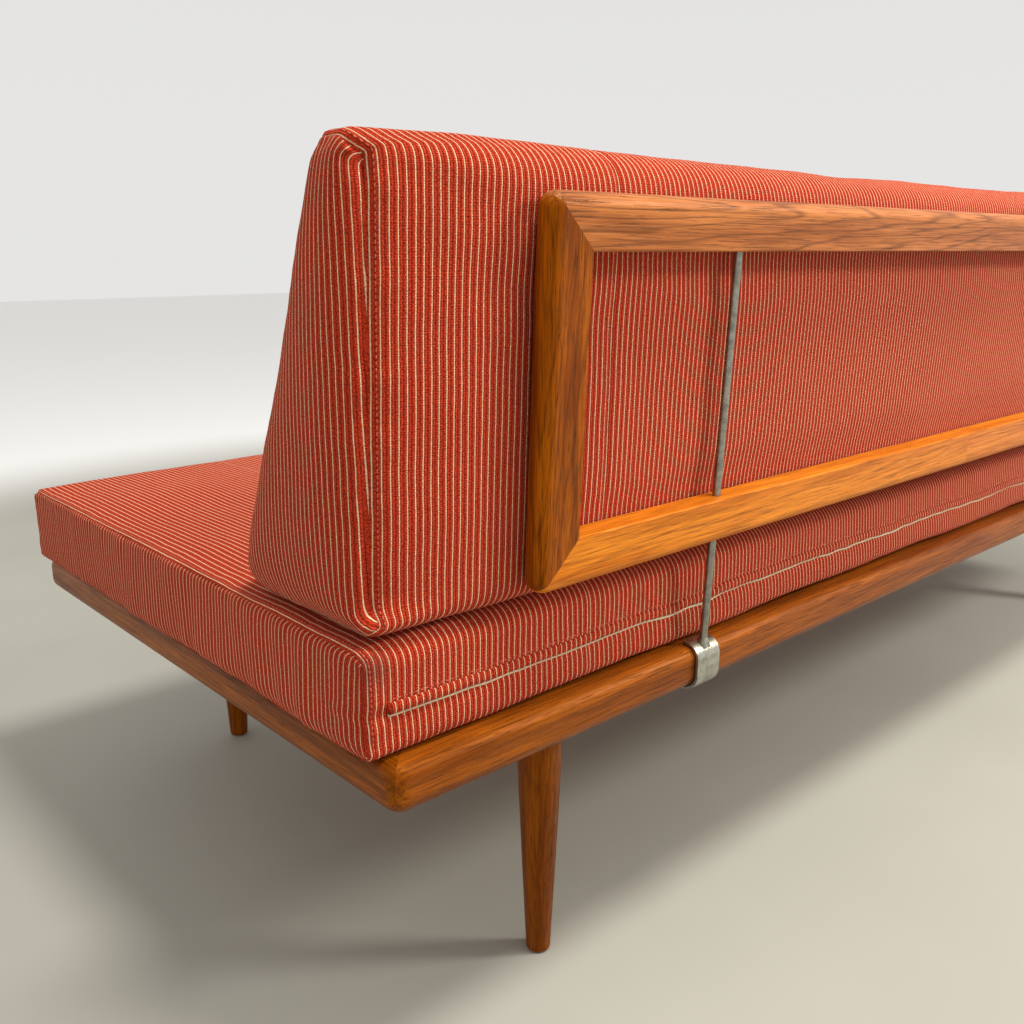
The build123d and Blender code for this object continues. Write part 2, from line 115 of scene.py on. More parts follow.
def srgb(red, green, blue):
    """Linear colour from display values of 0 to 255."""
    values = [v / 255 for v in (red, green, blue)]
    return (*[v / 12.92 if v <= 0.04045 else ((v + 0.055) / 1.055) ** 2.4 for v in values], 1)


class Surface:
    """A material under construction, with short calls for its nodes."""

    def __init__(self, name, **constants):
        self.material = bpy.data.materials.new(name)
        self.material.use_nodes = True
        self.tree = self.material.node_tree
        self.tree.nodes.clear()
        output = self.node("ShaderNodeOutputMaterial")
        self.shader = self.node("ShaderNodeBsdfPrincipled")
        self.tree.links.new(self.shader.outputs["BSDF"], output.inputs["Surface"])
        for socket, value in constants.items():
            self.shader.inputs[socket.replace("_", " ")].default_value = value

    def node(self, kind, **settings):
        made = self.tree.nodes.new(kind)
        for name, value in settings.items():
            setattr(made, name, value)
        return made

    def put(self, socket, value):
        if isinstance(value, bpy.types.NodeSocket):
            self.tree.links.new(value, socket)
        else:
            socket.default_value = value

    def math(self, operation, *values, clamp=False):
        made = self.node("ShaderNodeMath", operation=operation, use_clamp=clamp)
        for socket, value in zip(made.inputs, values):
            self.put(socket, value)
        return made.outputs[0]

    def fit(self, value, low, high, to_low=0.0, to_high=1.0):
        """The value eased from one range to another, held at both ends."""
        made = self.node("ShaderNodeMapRange", interpolation_type="SMOOTHSTEP")
        for socket, given in zip(made.inputs, (value, low, high, to_low, to_high)):
            self.put(socket, given)
        return made.outputs[0]

    def position(self):
        return self.node("ShaderNodeTexCoord").outputs["Object"]

    def split(self, vector):
        made = self.node("ShaderNodeSeparateXYZ")
        self.put(made.inputs[0], vector)
        return made.outputs[0], made.outputs[1], made.outputs[2]

    def stretch(self, vector, scales):
        made = self.node("ShaderNodeVectorMath", operation="MULTIPLY")
        self.put(made.inputs[0], vector)
        self.put(made.inputs[1], scales)
        return made.outputs[0]

    def noise(self, vector, scale, detail=2.0, roughness=0.5):
        made = self.node("ShaderNodeTexNoise")
        self.put(made.inputs["Vector"], vector)
        self.put(made.inputs["Scale"], scale)
        self.put(made.inputs["Detail"], detail)
        self.put(made.inputs["Roughness"], roughness)
        return made.outputs[0]

    def mix(self, share, first, second):
        made = self.node("ShaderNodeMix", data_type="RGBA")
        self.put(made.inputs[0], share)
        self.put(made.inputs[6], first)
        self.put(made.inputs[7], second)
        return made.outputs[2]

    def finish(self, colour, roughness, height, depth):
        """Wire up the colour, the roughness, and a height in shares of a depth in metres."""
        bump = self.node("ShaderNodeBump")
        self.put(bump.inputs["Height"], height)
        self.put(bump.inputs["Distance"], depth)
        self.put(self.shader.inputs["Normal"], bump.outputs[0])
        self.put(self.shader.inputs["Base Color"], colour)
        self.put(self.shader.inputs["Roughness"], roughness)
        return self.material


def wood(name, grain, light, dark, line, figure=1.0, seed=0.0, shine=0.34):
    """Oiled wood. grain is the axis, 0 to 2, that the fibres follow."""
    s = Surface(name, Specular_IOR_Level=0.3, Specular_Tint=srgb(255, 168, 84))
    place = s.position()
    slow = [1.0, 1.0, 1.0]
    slow[grain] = 0.07
    fibre_scale = [1.0, 1.0, 1.0]
    fibre_scale[grain] = 0.025
    shifted = s.node("ShaderNodeVectorMath", operation="ADD")
    s.put(shifted.inputs[0], place)
    s.put(shifted.inputs[1], (seed, seed * 1.7, seed * 0.6))
    place = shifted.outputs[0]
    stretched = s.stretch(place, slow)
    parts = list(s.split(place))
    run = parts.pop(grain)
    warp = s.math("SUBTRACT", s.noise(stretched, 16, 3, 0.55), 0.5)
    tilt = s.math("MULTIPLY", run, 0.035)
    first = s.math("ADD", s.math("ADD", parts[0], tilt), s.math("MULTIPLY", warp, 0.055 * figure))
    second = s.math("ADD", parts[1], s.math("MULTIPLY", warp, 0.03 * figure))
    radius = s.math("SQRT", s.math("ADD", s.math("POWER", first, 2.0), s.math("POWER", second, 2.0)))
    rings = s.math("FRACT", s.math("DIVIDE", radius, 0.0052))
    line_share = s.fit(s.math("ABSOLUTE", s.math("SUBTRACT", rings, 0.5)), 0.34, 0.5)
    fibres = s.noise(s.stretch(place, fibre_scale), 430, 5, 0.72)
    pores = s.fit(s.noise(s.stretch(place, fibre_scale), 800, 3, 0.65), 0.56, 0.66)
    cloud = s.noise(stretched, 9, 2)
    streak = s.noise(stretched, 55, 3, 0.6)
    colour = s.mix(s.fit(streak, 0.3, 0.7), dark, light)
    colour = s.mix(s.fit(cloud, 0.35, 0.75, 0.0, 0.4), colour, dark)
    colour = s.mix(s.math("MULTIPLY", line_share, 0.6 * figure), colour, line)
    colour = s.mix(s.fit(fibres, 0.34, 0.6, 0.5, 0.0), colour, line)
    colour = s.mix(s.math("MULTIPLY", pores, 0.6), colour, line)
    rough = s.fit(fibres, 0.3, 0.7, shine + 0.12, shine - 0.05)
    height = s.math("SUBTRACT", fibres, s.math("MULTIPLY", pores, 0.8))
    return s.finish(colour, rough, height, 0.00035)


def steel(name, stained=False):
    """Satin steel, browned by heat beside the weld where it is stained."""
    s = Surface(name, Metallic=1.0)
    place = s.position()
    _, _, up = s.split(place)
    mottle = s.noise(place, 130, 4, 0.6)
    scratch = s.noise(s.stretch(place, (1.0, 1.0, 0.08)), 1400, 3, 0.6)
    bright, worn = srgb(158, 156, 144), srgb(128, 126, 114)
    if stained:
        bright, worn = srgb(184, 184, 172), srgb(150, 150, 138)
    colour = s.mix(s.fit(mottle, 0.35, 0.7), bright, worn)
    if stained:
        heat = s.math("MULTIPLY", s.fit(up, 0.290, 0.303), s.fit(mottle, 0.36, 0.6))
        colour = s.mix(s.math("MULTIPLY", heat, 0.55), colour, srgb(108, 88, 62))
    rough = s.fit(mottle, 0.3, 0.7, 0.30, 0.42)
    return s.finish(colour, rough, s.math("ADD", scratch, mottle), 0.00012)


def plain(name, light, dark, scale, roughness, depth, metallic=0.0):
    """A mottled one-colour finish for pieces that mostly stay out of sight."""
    s = Surface(name, Metallic=metallic)
    speckle = s.noise(s.position(), scale, 4, 0.6)
    colour = s.mix(s.fit(speckle, 0.3, 0.7), dark, light)
    rough = s.fit(speckle, 0.3, 0.7, roughness + 0.1, roughness - 0.08)
    return s.finish(colour, rough, speckle, depth)


def striped_fabric(name, worn=False):
    """Nubby wool with fine pale stripes, mapped in metres by the cloth map."""
    s = Surface(
        name, Specular_IOR_Level=0.06,
        Sheen_Weight=0.11, Sheen_Roughness=0.35, Sheen_Tint=srgb(255, 184, 156),
    )
    cloth = s.node("ShaderNodeUVMap", uv_map="cloth").outputs[0]
    across, along, _ = s.split(cloth)
    place = s.position()
    drift = s.math("MULTIPLY", s.math("SUBTRACT", s.noise(cloth, 22, 2), 0.5), 0.0016)
    yarn = s.noise(s.stretch(cloth, (1.0, 0.5, 1.0)), 1100, 3, 0.65)
    nub = s.noise(cloth, 700, 4, 0.7)
    phase = s.math("FRACT", s.math("DIVIDE", s.math("ADD", across, drift), STRIPE_PITCH))
    away = s.math("ABSOLUTE", s.math("SUBTRACT", phase, 0.5))
    frayed = s.math("ADD", away, s.math("MULTIPLY", s.math("SUBTRACT", yarn, 0.5), 0.10))
    pale = s.fit(frayed, 0.05, 0.095, 1.0, 0.0)
    # These masks mark the low relief between the ribs and beside each pale stripe; the red is given painted
    # shade there below
    groove_shade = s.fit(frayed, 0.40, 0.48)
    beside = s.fit(frayed, 0.09, 0.17, 1.0, 0.0)
    rib = s.math("SINE", s.math("MULTIPLY", s.fit(away, 0.1, 0.46), math.pi))
    weft = s.math("SINE", s.math("MULTIPLY", along, 2 * math.pi / WEFT_PITCH))
    red = s.mix(s.fit(nub, 0.32, 0.68), srgb(122, 14, 6), srgb(228, 76, 42))
    patch = s.noise(place, 5, 3)
    red = s.mix(s.fit(patch, 0.3, 0.75, 0.0, 0.2), red, srgb(216, 72, 36))
    # Painted shade: the red is darkened in the grooves between ribs and in the hollows beside each pale
    # stripe, where the bump sinks
    red = s.mix(s.math("MULTIPLY", groove_shade, 0.7), red, srgb(92, 8, 3))
    red = s.mix(s.math("MULTIPLY", beside, 0.45), red, srgb(104, 10, 4))
    cream = s.mix(s.fit(yarn, 0.35, 0.65), srgb(234, 168, 120), srgb(255, 232, 196))
    colour = s.mix(s.math("MULTIPLY", pale, 0.92), red, cream)
    if worn:
        from_corner = s.node("ShaderNodeVectorMath", operation="DISTANCE")
        s.put(from_corner.inputs[0], s.stretch(place, (1.0, 1.0, 0.8)))
        s.put(from_corner.inputs[1], (0.974, 0.350, 0.378 * 0.8))
        ragged = s.math("ADD", from_corner.outputs["Value"], s.math("MULTIPLY", nub, 0.03))
        rubbed = s.fit(ragged, 0.020, 0.038, 0.55, 0.0)
        colour = s.mix(rubbed, colour, srgb(92, 58, 50))
    height = s.math("ADD", s.math("MULTIPLY", rib, 0.55), s.math("MULTIPLY", nub, 1.1))
    height = s.math("ADD", height, s.math("MULTIPLY", pale, 0.35))
    height = s.math("ADD", height, s.math("MULTIPLY", weft, 0.12))
    return s.finish(colour, s.fit(nub, 0.3, 0.7, 0.95, 0.8), height, 0.0012)


# Pads -------------------------------------------------------------------------

def graded(length, fine, coarse, extra=()):
    """Places along a length, close together at both ends and at the extra places."""
    count = 4000
    fine_places = [0.0, length, *extra]
    at = np.linspace(0, length, count)
    nearest = np.min([np.abs(at - p) for p in fine_places], axis=0)
    step = fine + (coarse - fine) * np.clip(nearest / 0.05, 0, 1)
    run = np.concatenate([[0], np.cumsum(np.diff(at) / step[1:])])
    cells = max(2, round(run[-1]))
    return np.interp(np.linspace(0, run[-1], cells + 1), run, at) / length


def rounded_sides(corners, radii):
    """The four sides of a rounded four-cornered section, each between corner middles."""
    arcs = []
    for i, corner in enumerate(corners):
        before = (corners[i - 1] - corner) / np.linalg.norm(corners[i - 1] - corner)
        after = corners[(i + 1) % 4] - corner
        after = after / np.linalg.norm(after)
        half = math.acos(float(before @ after)) / 2
        towards = (before + after) / np.linalg.norm(before + after)
        centre = corner + towards * radii[i] / math.sin(half)
        start = corner + before * radii[i] / math.tan(half) - centre
        end = corner + after * radii[i] / math.tan(half) - centre
        turn = math.pi - 2 * half
        shares = np.linspace(0, 1, 13)[:, None]
        bow = (np.sin((1 - shares) * turn) * start + np.sin(shares * turn) * end) / math.sin(turn)
        arcs.append(centre + bow)
    return [np.vstack([arcs[i][6:], arcs[(i + 1) % 4][:7]]) for i in range(4)]


def spread_along(line, shares):
    """Points at shares of a line's length."""
    run = np.concatenate([[0], np.cumsum(np.linalg.norm(np.diff(line, axis=0), axis=1))])
    return np.stack([np.interp(shares * run[-1], run, line[:, i]) for i in (0, 1)], axis=1)


class Pad:
    """A closed sewn form: one cloth wrapped round its length, and an end panel at each end.

    corners are the section's (y, z) at the rear bottom, front bottom, front top
    and rear top. end lists, in metres, the radius of the roll into an end seam, the
    draw-in towards the seam and its reach, the end panel's crown and its reach, and
    how far the seam stands out along the top. The mesh is a lattice bent round the
    section, so that each point knows how far it is from the end seams.
    """

    def __init__(self, name, corners, radii, half, end, cell, joins=(), folds=()):
        self.name = name
        self.half = half
        corners = [np.array(c, float) for c in corners]
        depth = np.linalg.norm(corners[0] - corners[1])
        height = np.linalg.norm(corners[1] - corners[2])
        at_joins = [half - j for j in joins] + [half + j for j in joins]
        along = graded(2 * half, 0.003, cell, at_joins)
        deep = graded(depth, 0.004, cell)
        high = graded(height, 0.004, cell, folds)
        self.counts = (len(along) - 1, len(deep) - 1, len(high) - 1)
        bottom, front, top, rear = rounded_sides(corners, radii)
        self.shares = (deep, high)
        self.end_round, self.end_slope, self.end_reach, self.bulge, self.bulge_reach, self.lift = end
        self.section = self._filled(
            spread_along(bottom[::-1], deep), spread_along(top, deep),
            spread_along(front, high), spread_along(rear[::-1], high),
        )
        self.inward = self._inward()
        drawn = {c: np.array(self.wrapped(c, 0, 1)) for c in self.ring()}
        ny, nz = self.counts[1:]
        self.panel = self._filled(
            np.array([drawn[j, 0] for j in range(ny + 1)]),
            np.array([drawn[j, nz] for j in range(ny + 1)]),
            np.array([drawn[0, k] for k in range(nz + 1)]),
            np.array([drawn[ny, k] for k in range(nz + 1)]),
        )
        across = (2 * along - 1) * half
        self.index = {}
        self.rest, self.seam, self.hem, self.side = [], [], [], []
        for i, x in enumerate(across):
            end = i in (0, self.counts[0])
            for j in range(self.counts[1] + 1):
                for k in range(self.counts[2] + 1):
                    on_ring = j in (0, self.counts[1]) or k in (0, self.counts[2])
                    if end or on_ring:
                        self.index[i, j, k] = len(self.rest)
                        self._place(i, j, k, x)
        self.rest = np.array(self.rest)
        self.seam = np.array(self.seam)
        self.hem = np.array(self.hem)
        self._panels()

    def _filled(self, low, upper, fore, back):
        """A grid of points inside four bounding lines."""
        t, w = self.shares[0][:, None, None], self.shares[1][None, :, None]
        return (
            (1 - w) * low[:, None] + w * upper[:, None] + (1 - t) * fore[None] + t * back[None]
            - (1 - t) * (1 - w) * low[0] - t * (1 - w) * low[-1]
            - (1 - t) * w * upper[0] - t * w * upper[-1]
        )

    def ring(self):
        """The section's lattice cells in order, from the rear bottom corner by the front."""
        _, ny, nz = self.counts
        path = [(j, 0) for j in range(ny, 0, -1)] + [(0, k) for k in range(nz)]
        return path + [(j, nz) for j in range(ny)] + [(ny, k) for k in range(nz, 0, -1)]

    def _inward(self):
        """The way into the section from each ring cell, weaker along the underside.

        Also keeps how far the end seam stands out at each cell: fully along the top,
        less along the underside, and not at all down the rear and the front.
        """
        path = self.ring()
        found = {}
        self.outstand = {}
        for n, cell in enumerate(path):
            tangent = self.section[path[(n + 1) % len(path)]] - self.section[path[n - 1]]
            tangent = tangent / np.linalg.norm(tangent)
            inward = np.array([tangent[1], -tangent[0]])
            found[cell] = inward * (1 - 0.8 * max(0.0, -tangent[0]))
            share = 1.0 if tangent[0] > 0 else 0.6
            self.outstand[cell] = max(0.0, 2 * tangent[0] ** 2 - 1) * share
        return found

    def wrapped(self, cell, run, sign):
        """A point of the wrapped cloth, at its run from an end seam."""
        arc = END_TURN * self.end_round
        turn = END_TURN * max(0.0, 1 - run / arc)
        out = self.half - self.end_round
        if turn:
            out += self.end_round * math.sin(turn)
        else:
            out *= (self.half - run) / (self.half - arc)
        rearward = max(0.0, -self.inward[cell][0])
        shrink = self.end_round * (1 - math.cos(turn))
        shrink += self.end_slope * (0.25 + 0.75 * rearward) * max(0.0, 1 - run / self.end_reach) ** 2
        out += self.lift * self.outstand[cell] * max(0.0, 1 - run / LIFT_REACH) ** 2
        return (sign * out, *(self.section[cell] + self.inward[cell] * shrink))

    def _place(self, i, j, k, x):
        """Work out one lattice point: where it is, and how far from which seam point."""
        _, ny, nz = self.counts
        sign = math.copysign(1, x)
        gaps = {r: math.dist(self.section[r], self.section[j, k]) for r in ((0, k), (ny, k), (j, 0), (j, nz))}
        nearest = min(gaps, key=gaps.get)
        to_seam = gaps[nearest]
        if to_seam > 0:
            close = sum(gap ** -3 for gap in gaps.values()) ** (-1 / 3)
            crown = self.bulge * (1 - (1 - min(1, close / self.bulge_reach)) ** 2)
            out, y, z = self.panel[j, k]
            self.rest.append((sign * (out + crown), y, z))
            self.seam.append(to_seam)
        else:
            self.rest.append(self.wrapped(nearest, self.half - abs(x), sign))
            self.seam.append(self.half - abs(x))
        self.hem.append(tuple(self.section[nearest]))
        self.side.append((x, *self.section[j, k]))

    def _panels(self):
        """Join the lattice points into faces, and lay the cloth out flat over each panel."""
        nx, ny, nz = self.counts
        self.faces, self.map = [], []
        ring_run = self._ring_run()
        for i in range(nx):
            for j in range(ny):
                for k, flip in ((0, True), (nz, False)):
                    cells = [(i, j, k), (i + 1, j, k), (i + 1, j + 1, k), (i, j + 1, k)]
                    self._face(cells, flip, ring_run)
            for k in range(nz):
                for j, flip in ((0, False), (ny, True)):
                    cells = [(i, j, k), (i + 1, j, k), (i + 1, j, k + 1), (i, j, k + 1)]
                    self._face(cells, flip, ring_run)
        for j in range(ny):
            for k in range(nz):
                for i, flip in ((0, True), (nx, False)):
                    cells = [(i, j, k), (i, j + 1, k), (i, j + 1, k + 1), (i, j, k + 1)]
                    self._face(cells, flip, None)

    def _ring_run(self):
        """Distance round the section from the rear bottom corner, for each ring cell."""
        path = self.ring()
        run, total = {}, 0.0
        for here, there in zip(path, path[1:] + path[:1]):
            run[here] = total
            total += math.dist(self.section[here], self.section[there])
        self.girth = total
        return run

    def _face(self, cells, flip, ring_run):
        if flip:
            cells = cells[::-1]
        self.faces.append([self.index[c] for c in cells])
        laid = []
        for c in cells:
            x, y, z = self.side[self.index[c]]
            if ring_run is None:
                laid.append((y, z))
            else:
                middle = sum(self.side[self.index[n]][0] for n in cells) / 4
                shift = 0.37 * STRIPE_PITCH if abs(middle) > WIDTH_JOIN else 0.0
                laid.append((x + shift, ring_run[c[1], c[2]]))
        if ring_run is not None:
            runs = [v for _, v in laid]
            laid = [(u, v + self.girth * (max(runs) - v > self.girth / 2)) for u, v in laid]
        self.map.append(laid)

    def build(self):
        """Make the mesh, with each point's seam facts kept as attributes."""
        mesh = bpy.data.meshes.new(self.name)
        mesh.from_pydata(self.rest.tolist(), [], self.faces)
        layer = mesh.uv_layers.new(name="cloth")
        layer.data.foreach_set("uv", np.array(self.map, np.float32).ravel())
        facts = {
            "seam": self.seam, "hem_y": self.hem[:, 0], "hem_z": self.hem[:, 1],
            "length": np.array(self.side)[:, 0],
        }
        for name, values in facts.items():
            kept = mesh.attributes.new(name, "FLOAT", "POINT")
            kept.data.foreach_set("value", values.astype(np.float32))
        pad = bpy.data.objects.new(self.name, mesh)
        scene.collection.objects.link(pad)
        return pad


def points_of(mesh):
    flat = np.empty(len(mesh.vertices) * 3, np.float32)
    mesh.vertices.foreach_get("co", flat)
    return flat.reshape(-1, 3).astype(float)


def normals_of(mesh):
    flat = np.empty(len(mesh.vertices) * 3, np.float32)
    mesh.vertex_normals.foreach_get("vector", flat)
    return flat.reshape(-1, 3).astype(float)


def fact(mesh, name):
    values = np.empty(len(mesh.vertices), np.float32)
    mesh.attributes[name].data.foreach_get("value", values)
    return values.astype(float)


def swell(pad, pinned, cap, end_hold):
    """Blow the pad up as cloth under pressure, and keep the swelling within a cap.

    end_hold is the share of the swelling that the end panels don't take.
    """
    group = pad.vertex_groups.new(name="held")
    for index, weight in enumerate(pinned):
        if weight > 0:
            group.add([index], float(weight), "REPLACE")
    cloth = pad.modifiers.new("cloth", "CLOTH")
    cloth.settings.quality = 4
    cloth.settings.mass = 0.4
    cloth.settings.tension_stiffness = 25
    cloth.settings.compression_stiffness = 8
    cloth.settings.shear_stiffness = 4
    cloth.settings.bending_stiffness = 0.4
    cloth.settings.use_pressure = True
    cloth.settings.uniform_pressure_force = 4
    cloth.settings.vertex_group_mass = "held"
    cloth.settings.effector_weights.gravity = 0
    cloth.collision_settings.use_collision = False
    for number in range(1, 21):
        scene.frame_set(number)
    graph = bpy.context.evaluated_depsgraph_get()
    blown = points_of(pad.evaluated_get(graph).data)
    pad.modifiers.remove(cloth)
    scene.frame_set(1)
    still = points_of(pad.data)
    moved = blown - still
    far = np.linalg.norm(moved, axis=1)
    usual = np.percentile(far[pinned < 0.5], 90)
    wanted = cap * np.tanh(1.3 * far / usual)
    facing = normals_of(pad.data)
    outward = (moved * facing).sum(axis=1, keepdims=True) * facing
    moved = outward + 0.25 * (moved - outward)
    wanted = wanted * (1 - end_hold * np.abs(facing[:, 0]))
    points = still + moved * (wanted / np.maximum(far, 1e-9))[:, None]
    print(pad.name, "swelling", round(float(usual), 4), "points", len(still))
    return points


def set_points(mesh, points):
    mesh.vertices.foreach_set("co", points.astype(np.float32).ravel())
    mesh.update()


def subdivide(pad, levels=1):
    smooth = pad.modifiers.new("smooth", "SUBSURF")
    smooth.levels = levels
    smooth.uv_smooth = "NONE"
    smooth.boundary_smooth = "ALL"
    graph = bpy.context.evaluated_depsgraph_get()
    finer = bpy.data.meshes.new_from_object(
        pad.evaluated_get(graph), preserve_all_data_layers=True, depsgraph=graph,
    )
    pad.modifiers.remove(smooth)
    pad.data = finer
    pad.data.name = pad.name
    pad.data.shade_smooth()


def ease(value, low, high):
    share = np.clip((value - low) / (high - low), 0, 1)
    return share * share * (3 - 2 * share)


def wavy(points, scales, seed):
    """Smooth noise at each point, the same on each run."""
    shift = Vector((seed, seed * 2.3, seed * 5.1))
    scaled = points * np.array(scales)
    return np.array([noise.noise(Vector(p) + shift) for p in scaled])


def relief(pad, depth, width, joins=(), creases=0.0):
    """Sink the seams, pucker the cloth beside them, and make the panels uneven.

    creases is the depth of the upright creases in the end panels.
    """
    mesh = pad.data
    points, normals = points_of(mesh), normals_of(mesh)
    seam, length = fact(mesh, "seam"), fact(mesh, "length")
    hem = np.stack([fact(mesh, "hem_y"), fact(mesh, "hem_z"), np.sign(length)], axis=1)
    move = -depth * np.exp(-((seam / width) ** 2))
    for join in joins:
        move -= 0.0014 * np.exp(-(((np.abs(length) - join) / 0.003) ** 2)) * (seam > 0.02)
    beside = np.exp(-seam / 0.014) * ease(seam, 0, 0.008) * ease(-seam, -0.034, -0.02)
    move += 0.0022 * wavy(hem, (48, 48, 9), 1.0) * beside
    move += 0.0013 * wavy(hem, (100, 100, 9), 4.0) * beside
    move += 0.0030 * wavy(points, (5, 6, 7), 2.0)
    move += 0.0009 * wavy(points, (17, 15, 19), 3.0)
    move += creases * wavy(points, (3, 38, 7), 6.0) * ease(np.abs(normals[:, 0]), 0.6, 0.9)
    set_points(mesh, points + normals * move[:, None])


# Stitches and zips ------------------------------------------------------------

def strung(name, lines, size):
    """Short raised stitches: each is a slim closed bead along its piece of a line.

    lines holds (centre, direction, normal) for each stitch; size is its length,
    width and height.
    """
    outline = ((-0.5, 0), (-0.3, 0.5), (0.3, 0.5), (0.5, 0), (0.3, -0.5), (-0.3, -0.5))
    vertices, faces = [], []
    for centre, direction, normal in lines:
        side = direction.cross(normal).normalized()
        base = len(vertices)
        for lift, share in ((-0.4, 1.0), (0.35, 1.0), (0.6, 0.5)):
            for run, across in outline:
                vertices.append(
                    centre + direction * (run * size[0] * (0.6 + 0.4 * share))
                    + side * (across * size[1] * share) + normal * (lift * size[2])
                )
        for level in (0, 6):
            for n in range(6):
                m = (n + 1) % 6
                a, b = base + level + n, base + level + m
                faces.append((a, b, b + 6, a + 6))
        faces.append(tuple(base + n for n in reversed(range(6))))
        faces.append(tuple(base + 12 + n for n in range(6)))
    mesh = bpy.data.meshes.new(name)
    mesh.from_pydata([tuple(v) for v in vertices], [], faces)
    mesh.shade_smooth()
    piece = bpy.data.objects.new(name, mesh)
    scene.collection.objects.link(piece)
    return piece


def paced(points, pitch):
    """Points evenly spaced along a line, with the direction at each."""
    line = np.array([tuple(p) for p in points])
    run = np.concatenate([[0], np.cumsum(np.linalg.norm(np.diff(line, axis=0), axis=1))])
    places = np.arange(pitch / 2, run[-1], pitch)
    made = []
    for place in places:
        here = np.array([np.interp(place, run, line[:, i]) for i in range(3)])
        ahead = np.array([np.interp(min(place + pitch / 3, run[-1]), run, line[:, i]) for i in range(3)])
        step = Vector(ahead - here)
        if step.length > 1e-6:
            made.append((Vector(here), step.normalized()))
    return made


def seam_stitches(name, pad_object, pad, rows, pitch, size):
    """Stitches beside both end seams, each row at a distance into the wrapped cloth."""
    tree = tree_of(pad_object)
    path = [c for c in pad.ring() if pad.section[c][1] > pad.section[..., 1].min() + 0.004]
    found = []
    for sign in (-1, 1):
        for into in rows:
            ring = [tree.find_nearest(pad.wrapped(cell, into, sign))[0] for cell in path]
            for here, direction in paced(ring, pitch):
                spot, normal, _, _ = tree.find_nearest(here)
                found.append((spot, direction, normal))
    return strung(name, found, size)


def tree_of(pad):
    mesh = pad.data
    return BVHTree.FromPolygons([v.co for v in mesh.vertices], [p.vertices for p in mesh.polygons])


def surface_line(tree, xs, height, origin, heading, wander=0.0):
    """Where a line across the length meets the pad, with the surface direction there."""
    spots = []
    for x in xs:
        slow = noise.noise(Vector((x * 9, 3.0, 0.0)))
        quick = noise.noise(Vector((x * 31, 5.0, 0.0)))
        sway = wander * slow + 0.4 * wander * quick
        start = Vector((x, *origin(height + sway)))
        spot, normal, _, _ = tree.ray_cast(start, heading)
        if spot is not None:
            spots.append((spot, normal))
    return spots


def ribbon(name, tree, xs, profile, origin, heading, wander):
    """A closed strip laid on the pad along its length.

    profile lists (height, proud) pairs across the strip, from below to above.
    """
    rows = []
    for height, proud in profile:
        spots = surface_line(tree, xs, height, origin, heading, wander)
        rows.append([spot + normal * proud for spot, normal in spots])
    count = len(xs)
    vertices = [v for row in rows for v in row]
    faces = []
    for r in range(len(rows)):
        following = (r + 1) % len(rows)
        for c in range(count - 1):
            here, there = r * count + c, following * count + c
            faces.append((here, here + 1, there + 1, there))
    faces.append(tuple(r * count for r in range(len(rows))))
    faces.append(tuple(r * count + count - 1 for r in reversed(range(len(rows)))))
    mesh = bpy.data.meshes.new(name)
    mesh.from_pydata([tuple(v) for v in vertices], [], faces)
    layer = mesh.uv_layers.new(name="cloth")
    for loop in mesh.loops:
        spot = mesh.vertices[loop.vertex_index].co
        layer.data[loop.index].uv = (spot.x, spot.z - 0.5 * spot.y)
    mesh.shade_smooth()
    piece = bpy.data.objects.new(name, mesh)
    scene.collection.objects.link(piece)
    return piece


# The two pads -----------------------------------------------------------------

LEAN = math.tan(math.radians(2.6))
WINDOW = 0.793
SIM_CELL = 0.013

# Stitches: length, width and height; the seam rows' distance from the seam, and their pitch
STITCH = (0.0032, 0.0011, 0.0005)
STITCH_INSET = 0.0055
STITCH_PITCH = 0.0046

# The mattress's zip: its height, its half length, how far it wanders, and its topstitching
ZIP_HEIGHT = 0.337
ZIP_HALF = 0.962
ZIP_WANDER = 0.004
TOPSTITCH_HEIGHT = 0.3485
TOPSTITCH_PITCH = 0.0052

# The back cushion's zip tape: places across it, and how proud it stands at each
BACK_TAPE = ((-0.0035, -0.001), (-0.003, 0.0004), (0.0, 0.0006), (0.003, 0.0004), (0.0035, -0.001))

# How each pad is made at its ends, as the Pad class lists it
MATTRESS_END = (0.008, 0.006, 0.07, 0.002, 0.02, 0.002)
CUSHION_END = (0.016, 0.018, 0.12, 0.013, 0.06, 0.016)


def make_mattress():
    low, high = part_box("mattress_cover")
    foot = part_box("back_cushion_cover")[0].y
    corners = (
        (high.y - 0.002, low.z + 0.0006), (low.y - 0.006, low.z + 0.0006),
        (low.y - 0.010, high.z - 0.003), (high.y - 0.002, high.z - 0.004),
    )
    radii = (0.012, 0.014, 0.020, 0.019)
    form = Pad("mattress_pad", corners, radii, high.x + 0.014, MATTRESS_END, SIM_CELL, folds=(0.035,))
    pad = form.build()
    pinned = np.where((form.rest[:, 2] < low.z + 0.002) | (form.seam < 1e-6), 1.0, 0.0)
    set_points(pad.data, swell(pad, pinned, 0.012, 0.85))
    subdivide(pad)
    relief(pad, 0.0014, 0.0030, creases=0.0028)
    points = points_of(pad.data)
    crease = np.exp(-(((points[:, 2] - ZIP_HEIGHT) / 0.006) ** 2)) * (points[:, 1] > 0.3)
    points[:, 1] -= 0.002 * crease
    forward = foot - 0.010 - points[:, 1]
    top = high.z - 0.0004 + 0.0125 * ease(forward, 0, 0.09)
    points[:, 2] = np.where(points[:, 2] > top, top + (points[:, 2] - top) * 0.03, points[:, 2])
    points[:, 2] = np.maximum(points[:, 2], low.z)
    rear = high.y + 0.0042 * ease(points[:, 2], low.z + 0.006, low.z + 0.02)
    points[:, 1] = np.minimum(points[:, 1], rear)
    set_points(pad.data, points)
    return form, pad


